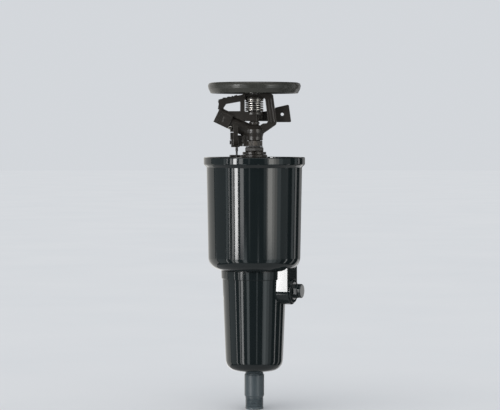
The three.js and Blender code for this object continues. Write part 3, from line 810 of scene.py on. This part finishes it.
# ---------------------------------------------------------------- head
BARREL_TILT = math.radians(25.6)
BARREL_CENTRE = 312  # height where the barrel's axis meets the sprinkler's
BARREL_R = 7.9
JET_END = 47.4  # end of the spoon, along the barrel
ARM_NEAR = (-8.6, -4.9)  # the arm's two plates, from and to along Y
ARM_FAR = (4.9, 8.6)
WEB_FOOT = 326
WEB_TOP = 336.6
SPRING_SEAT = 336
SPRING_SEAT_FOOT = SPRING_SEAT - 2.8
BRIDGE_HALF = 4.4
BRACKET_FOOT = 297.9
BODY_BASE = 304.5
TRIP_PIN_Z = 302


def along_barrel(piece):
    """Turns a piece drawn with Z along the barrel into its place on the head."""
    s, c = math.sin(BARREL_TILT), math.cos(BARREL_TILT)
    turn = Matrix(((s, 0, -c, 0), (0, 1, 0, 0), (c, 0, s, BARREL_CENTRE * MM), (0, 0, 0, 1)))
    piece.data.transform(turn)
    return piece


def barrel_line(x):
    """Height of the barrel's top line over x."""
    return BARREL_CENTRE - x * math.tan(BARREL_TILT) + BARREL_R / math.cos(BARREL_TILT)


def grip_tooth(x):
    """One serration on the upper edge of the arm's near plate, which falls towards the jet."""
    z = 355.4 + (x + 14.8) * 0.206 if x > -38 else 349.4
    return [(x, z - 3), (x + 3, z - 2.4), (x + 2.6, z + 1.2), (x + 0.3, z + 1.2)]


def paddle():
    """The arm's far plate and its paddle, with the hole near the paddle's middle."""
    plate = upright(
        [
            (0, WEB_FOOT),
            (24, WEB_FOOT),
            (25, 324.9),
            (40.8, 324.9),
            (41.7, 325.9),
            (39.2, 343.9),
            (38, 344.7),
            (23.6, 341.4),
            (23.2, 338.6),
            (8, WEB_TOP),
            (0, WEB_TOP),
        ],
        *ARM_FAR,
    )
    hole = turned("hole", [(0, -12), (1.8, -12), (1.8, 0), (0, 0)], 32)
    hole.data.transform(Matrix.Translation((31.6 * MM, 0, 333.8 * MM)) @ Matrix.Rotation(math.pi / 2, 4, "X"))
    return combine(plate, hole, "DIFFERENCE")


def cheek():
    """The plate beside the spoon and the nozzle, with its raised edges and a rib."""
    r = BARREL_R
    parts = (
        ("cheek", (-r, -10.6, 30), (r, -9.15, JET_END)),
        ("cheek_end", (-r, -11.6, 43.4), (r, -10.4, JET_END)),
        ("cheek_top", (6.2, -11.6, 30), (r, -10.4, 44)),
        ("cheek_rib", (-4, -11.2, 37), (3, -10.4, 38.4)),
    )
    return [along_barrel(block(*part)) for part in parts]


def hub():
    """The spring's post and seat, and the skirt that covers the gap under the hub."""
    post_top = 350.2
    bore, post, seat = 2.6, 7.2, 9.9
    foot_z = SPRING_SEAT - 1
    column = [(bore, foot_z), (post, foot_z), (post, post_top - 0.8), (post - 0.8, post_top)]
    column.append((bore, post_top))
    disc = [(5, SPRING_SEAT_FOOT), (seat, SPRING_SEAT_FOOT), (seat, SPRING_SEAT), (5, SPRING_SEAT)]
    skirt = [(5.45, 322.9), (6, 322.9), (6, 325), (4, 325), (4, 324.2), (5.45, 324.2)]
    return [turned("post", column, 48), turned("seat", disc, 64), turned("skirt", skirt, 48)]


def arm_forms():
    """What the arm's moulding has beside its plain form."""
    drop = [(x, barrel_line(x) - 0.9) for x in (-12, -38)]
    drop += [(x, barrel_line(x) + 2.5) for x in (-38, -12)]
    near, inner = ARM_NEAR
    return [
        paddle(),
        upright(drop, near, inner),
        *cheek(),
        *[upright(grip_tooth(x), near, inner) for x in (-40.6, -34.4, -29.2, -23)],
        along_barrel(block("cheek_web", (-BARREL_R, -9.4, 36.8), (BARREL_R, -6.2, JET_END))),
        block("near_web", (-9, near, WEB_FOOT), (3, -2.4, WEB_TOP)),
        block("near_corner", (-11.6, near, WEB_FOOT), (-8.9, inner, WEB_TOP)),
        block("far_web", (-3, 2.4, WEB_FOOT), (9, ARM_FAR[1], WEB_TOP)),
        *hub(),
    ]


def bridge_forms():
    """A heavier right leg, the bracket's saddle and fin, the spring's cap and the heel under the barrel."""
    leg = [
        (10.6, 352.2),
        (12.2, 350.6),
        (15.4, 326.4),
        (14.2, 324),
        (15.6, 323.4),
        (17.2, 326),
        (13.8, 351),
        (12, 353),
    ]
    saddle = [(-9.8, -5), (-8.1, -5), (-9, -3.1), (-9.5, 0), (-9, 3.1), (-8.1, 5), (-9.8, 5)]
    cap = [(2.6, 350.4), (10.6, 350.4), (10.6, 352.6), (2.6, 352.6)]
    heel = [(-27.3, 313.9), (-22, 313.9), (-20, 316), (-27.3, 319)]
    fin_top = 309.6
    fin = [(-14, TRIP_PIN_Z), (-11.5, TRIP_PIN_Z), (-11.5, fin_top), (-14, fin_top)]
    return [
        upright(leg, -BRIDGE_HALF, BRIDGE_HALF),
        flat(saddle, BRACKET_FOOT, BODY_BASE),
        turned("spring_cap", cap, 64),
        upright(heel, -3.5, 3.5),
        upright(fin, -7.2, -6),
        block("fin_root", (-12.6, -6.4, TRIP_PIN_Z), (-11.5, -4.5, fin_top)),
    ]


def trip_forms():
    """The rocker's near lip, carried up and in towards the bracket."""
    return [block("lip", (-20, -5.5, TRIP_PIN_Z - 4.3), (-13, -3.6, TRIP_PIN_Z + 5.6))]


def feeler_wire():
    """Hangs from the rocker between the wings of the two trip collars, and is thinner beside them."""
    low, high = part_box("trip_wire")
    thin, thick = 1.1, 1.5
    tip = low.z / MM
    end = high.z / MM
    bore = end - 3
    wings = top("trip_collar_upper") + 0.6
    wire = [
        (0, tip),
        (thin, tip),
        (thin, wings),
        (thick, wings + 0.4),
        (thick, bore),
        (thin, bore),
        (thin, end),
        (0, end),
    ]
    piece = turned("feeler_wire", wire, 24)
    piece.data.transform(Matrix.Translation(((low.x + high.x) / 2, 0, 0)))
    fit_out(piece, "trip", "trip_wire")


def mouldings():
    """The moulded pieces: node, body, voxel size and passes of easing."""
    forms = {"bridge_body": bridge_forms, "drive_arm": arm_forms, "trip_rocker": trip_forms}
    for node, body, voxel, passes in (
        ("bridge_body", "head", 0.28, 2),
        ("drive_arm", "arm", 0.28, 2),
        ("trip_rocker", "trip", 0.26, 2),
        ("nozzle", "head", 0.22, 3),
        ("trip_collar_lower", "collar_lower", 0.24, 3),
        ("trip_collar_upper", "collar_upper", 0.24, 3),
        ("bearing_nut", "riser", 0.26, 3),
        ("riser_cap", "riser", 0.34, 3),
    ):
        grown = forms[node]() if node in forms else []
        fit_out(moulded(node, voxel, passes, grown), body, node)


def carried_nodes():
    """Nodes that keep their own form and take their finish."""
    for node, thing in frame["nodes"].items():
        thing.data.materials.clear()
        thing.data.materials.append(finish_of(node))
        thing.data.polygons.foreach_set("use_smooth", [True] * len(thing.data.polygons))
        thing.data.set_sharp_from_angle(angle=math.radians(32))


# ---------------------------------------------------------------- stage
def floor():
    """A plain disc of board, wider than any view of the sprinkler."""
    bpy.ops.mesh.primitive_circle_add(vertices=96, radius=14, fill_type="NGON", location=(0, 0, -0.0002))
    board = bpy.context.object
    board.name = "floor"
    board.data.materials.append(floor_board())
    board.visible_glossy = False
    board.visible_shadow = False
    return board


COOL = (0.9, 0.98, 1.0)
WHITE = (1.0, 1.0, 1.0)
WARM = (1.0, 0.985, 0.94)
RIG_DISTANCE = 1.6
RIG_FOOT = -0.75
RIG_TOP = 1.0
SPLIT = -0.03  # height on the ring of panes where the lower case's reflections begin
# Panes of light round the sprinkler, which the case mirrors as streaks.
# Each row is: from and to in degrees, brightness, colour.
# Azimuth 0 is behind the camera, and positive is to its right.
UPPER_PANES = (
    (-178, -114, 0.76, WARM),
    (-111.5, -74, 0.27, COOL),
    (-73, -66.6, 0.85, COOL),
    (-64.5, -62.2, 3.2, WHITE),
    (-55.6, -51.2, 3.9, WHITE),
    (-48, -40.2, 17.0, WHITE),
    (-34.5, -25.8, 3.2, WHITE),
    (-13.2, -10.4, 0.55, COOL),
    (22.5, 29.5, 0.4, COOL),
    (29.5, 32.5, 1.5, WARM),
    (32.5, 43.5, 4.4, WARM),
    (43.5, 49.5, 2.7, WARM),
    (49.5, 56.5, 1.6, WARM),
    (56.5, 66.5, 0.8, COOL),
    (66.5, 89, 0.32, COOL),
    (103, 112.5, 0.5, COOL),
    (116, 123.5, 0.9, WHITE),
    (139, 163, 0.4, WHITE),
)
LOWER_PANES = (
    (-178, -108, 0.9, WARM),
    (-105, -77, 0.45, COOL),
    (-74.5, -71.5, 3.2, WHITE),
    (-58, -53, 2.0, WHITE),
    (-49.5, -42, 4.2, WHITE),
    (-28, -18.5, 1.3, COOL),
    (8, 11, 1.0, COOL),
    (31, 36, 1.1, COOL),
    (36, 45, 1.5, COOL),
    (45, 56, 0.9, COOL),
    (56, 70, 0.4, COOL),
    (85, 89.5, 2.2, WHITE),
    (112, 119, 0.8, WHITE),
    (139, 165, 0.8, WHITE),
)


def pane(name, row, low, high, linked):
    """An upright strip of light facing the sprinkler, for the pieces it is linked to."""
    start, end, brightness, colour = row
    width = 2 * RIG_DISTANCE * math.tan(math.radians(end - start) / 2)
    data = bpy.data.lights.new(name, "AREA")
    data.shape = "RECTANGLE"
    data.size = width
    data.size_y = high - low
    data.energy = brightness * math.pi * width * (high - low)
    data.color = colour
    strip = bpy.data.objects.new(name, data)
    bpy.context.scene.collection.objects.link(strip)
    aim = math.radians(start + end) / 2
    strip.location = (RIG_DISTANCE * math.sin(aim), -RIG_DISTANCE * math.cos(aim), (low + high) / 2)
    strip.rotation_euler = (math.pi / 2, 0, aim)
    strip.visible_camera = False
    strip.light_linking.receiver_collection = linked


def flat_lamp(name, size, brightness, place, tilt, linked=None):
    """A soft square lamp, tipped from facing straight down."""
    data = bpy.data.lights.new(name, "AREA")
    data.shape = "SQUARE"
    data.size = size
    data.energy = brightness * math.pi * size * size
    lamp = bpy.data.objects.new(name, data)
    bpy.context.scene.collection.objects.link(lamp)
    lamp.location = place
    lamp.rotation_euler = (math.radians(tilt), 0, 0)
    lamp.visible_camera = False
    if linked is not None:
        lamp.light_linking.receiver_collection = linked


def link_group(name, member, state):
    """A group of receivers with one member, which a light then includes or excludes."""
    group = bpy.data.collections.new(name)
    group.objects.link(member)
    group.collection_objects[0].light_linking.link_state = state
    return group


def room_light():
    """Even light over the floor and everything on it."""
    data = bpy.data.lights.new("room", "SUN")
    data.energy = 0.75
    data.angle = math.radians(60)
    room = bpy.data.objects.new("room", data)
    bpy.context.scene.collection.objects.link(room)
    room.rotation_euler = (math.radians(20), math.radians(-15), 0)
    room.visible_glossy = False
    world = bpy.data.worlds.new("studio")
    world.use_nodes = True
    backdrop = world.node_tree.nodes["Background"]
    backdrop.inputs["Color"].default_value = rgb(0.82, 0.85, 0.89)
    backdrop.inputs["Strength"].default_value = 0.8
    world.cycles_visibility.glossy = False
    bpy.context.scene.world = world


def lights(board, shell, plug):
    """Panes round the sprinkler, strips for the side inlet, and soft light from above, below and behind."""
    unlit = link_group("unlit_floor", board, "EXCLUDE")
    for number, row in enumerate(UPPER_PANES):
        pane(f"upper_pane_{number + 1}", row, SPLIT, RIG_TOP, unlit)
    for number, row in enumerate(LOWER_PANES):
        pane(f"lower_pane_{number + 1}", row, RIG_FOOT, SPLIT, unlit)
    block_only = link_group("lower_case_only", shell, "INCLUDE")
    pane("block_glint", (-42, -36.5, 22.0, WHITE), -0.02, 0.075, block_only)
    plug_only = link_group("side_plug_only", plug, "INCLUDE")
    pane("plug_side", (-52, -32, 2.2, WHITE), -0.4, 1.0, plug_only)
    pane("plug_end", (128, 148, 1.0, WHITE), -0.2, 0.5, plug_only)
    flat_lamp("overhead", 1.4, 1.8, (0, 0, 1.6), 20, unlit)
    flat_lamp("underneath", 2.4, 0.4, (0, 0, -0.7), 180)
    flat_lamp("behind_low", 1.3, 0.6, (0, 1.6, -0.8), -90, unlit)
    room_light()


CAMERA_PLACE = (-0.0049, -2.3, 0.315)
CAMERA_DROP = 2.085  # degrees below level
CAMERA_LENS = 146.5


def camera():
    """A long lens level with the barrel of the head, looking slightly down."""
    data = bpy.data.cameras.new("camera")
    data.sensor_width = 36
    data.lens = CAMERA_LENS
    eye = bpy.data.objects.new("camera", data)
    bpy.context.scene.collection.objects.link(eye)
    eye.location = CAMERA_PLACE
    eye.rotation_euler = (math.radians(90 - CAMERA_DROP), 0, 0)
    bpy.context.scene.camera = eye


camera()
bpy.context.scene.view_settings.view_transform = "Standard"

carried_nodes()
upper_case()
lights(floor(), lower_case(), side_plug())
nipple()
cover()
springs()
toggle_spring()
mouldings()
feeler_wire()
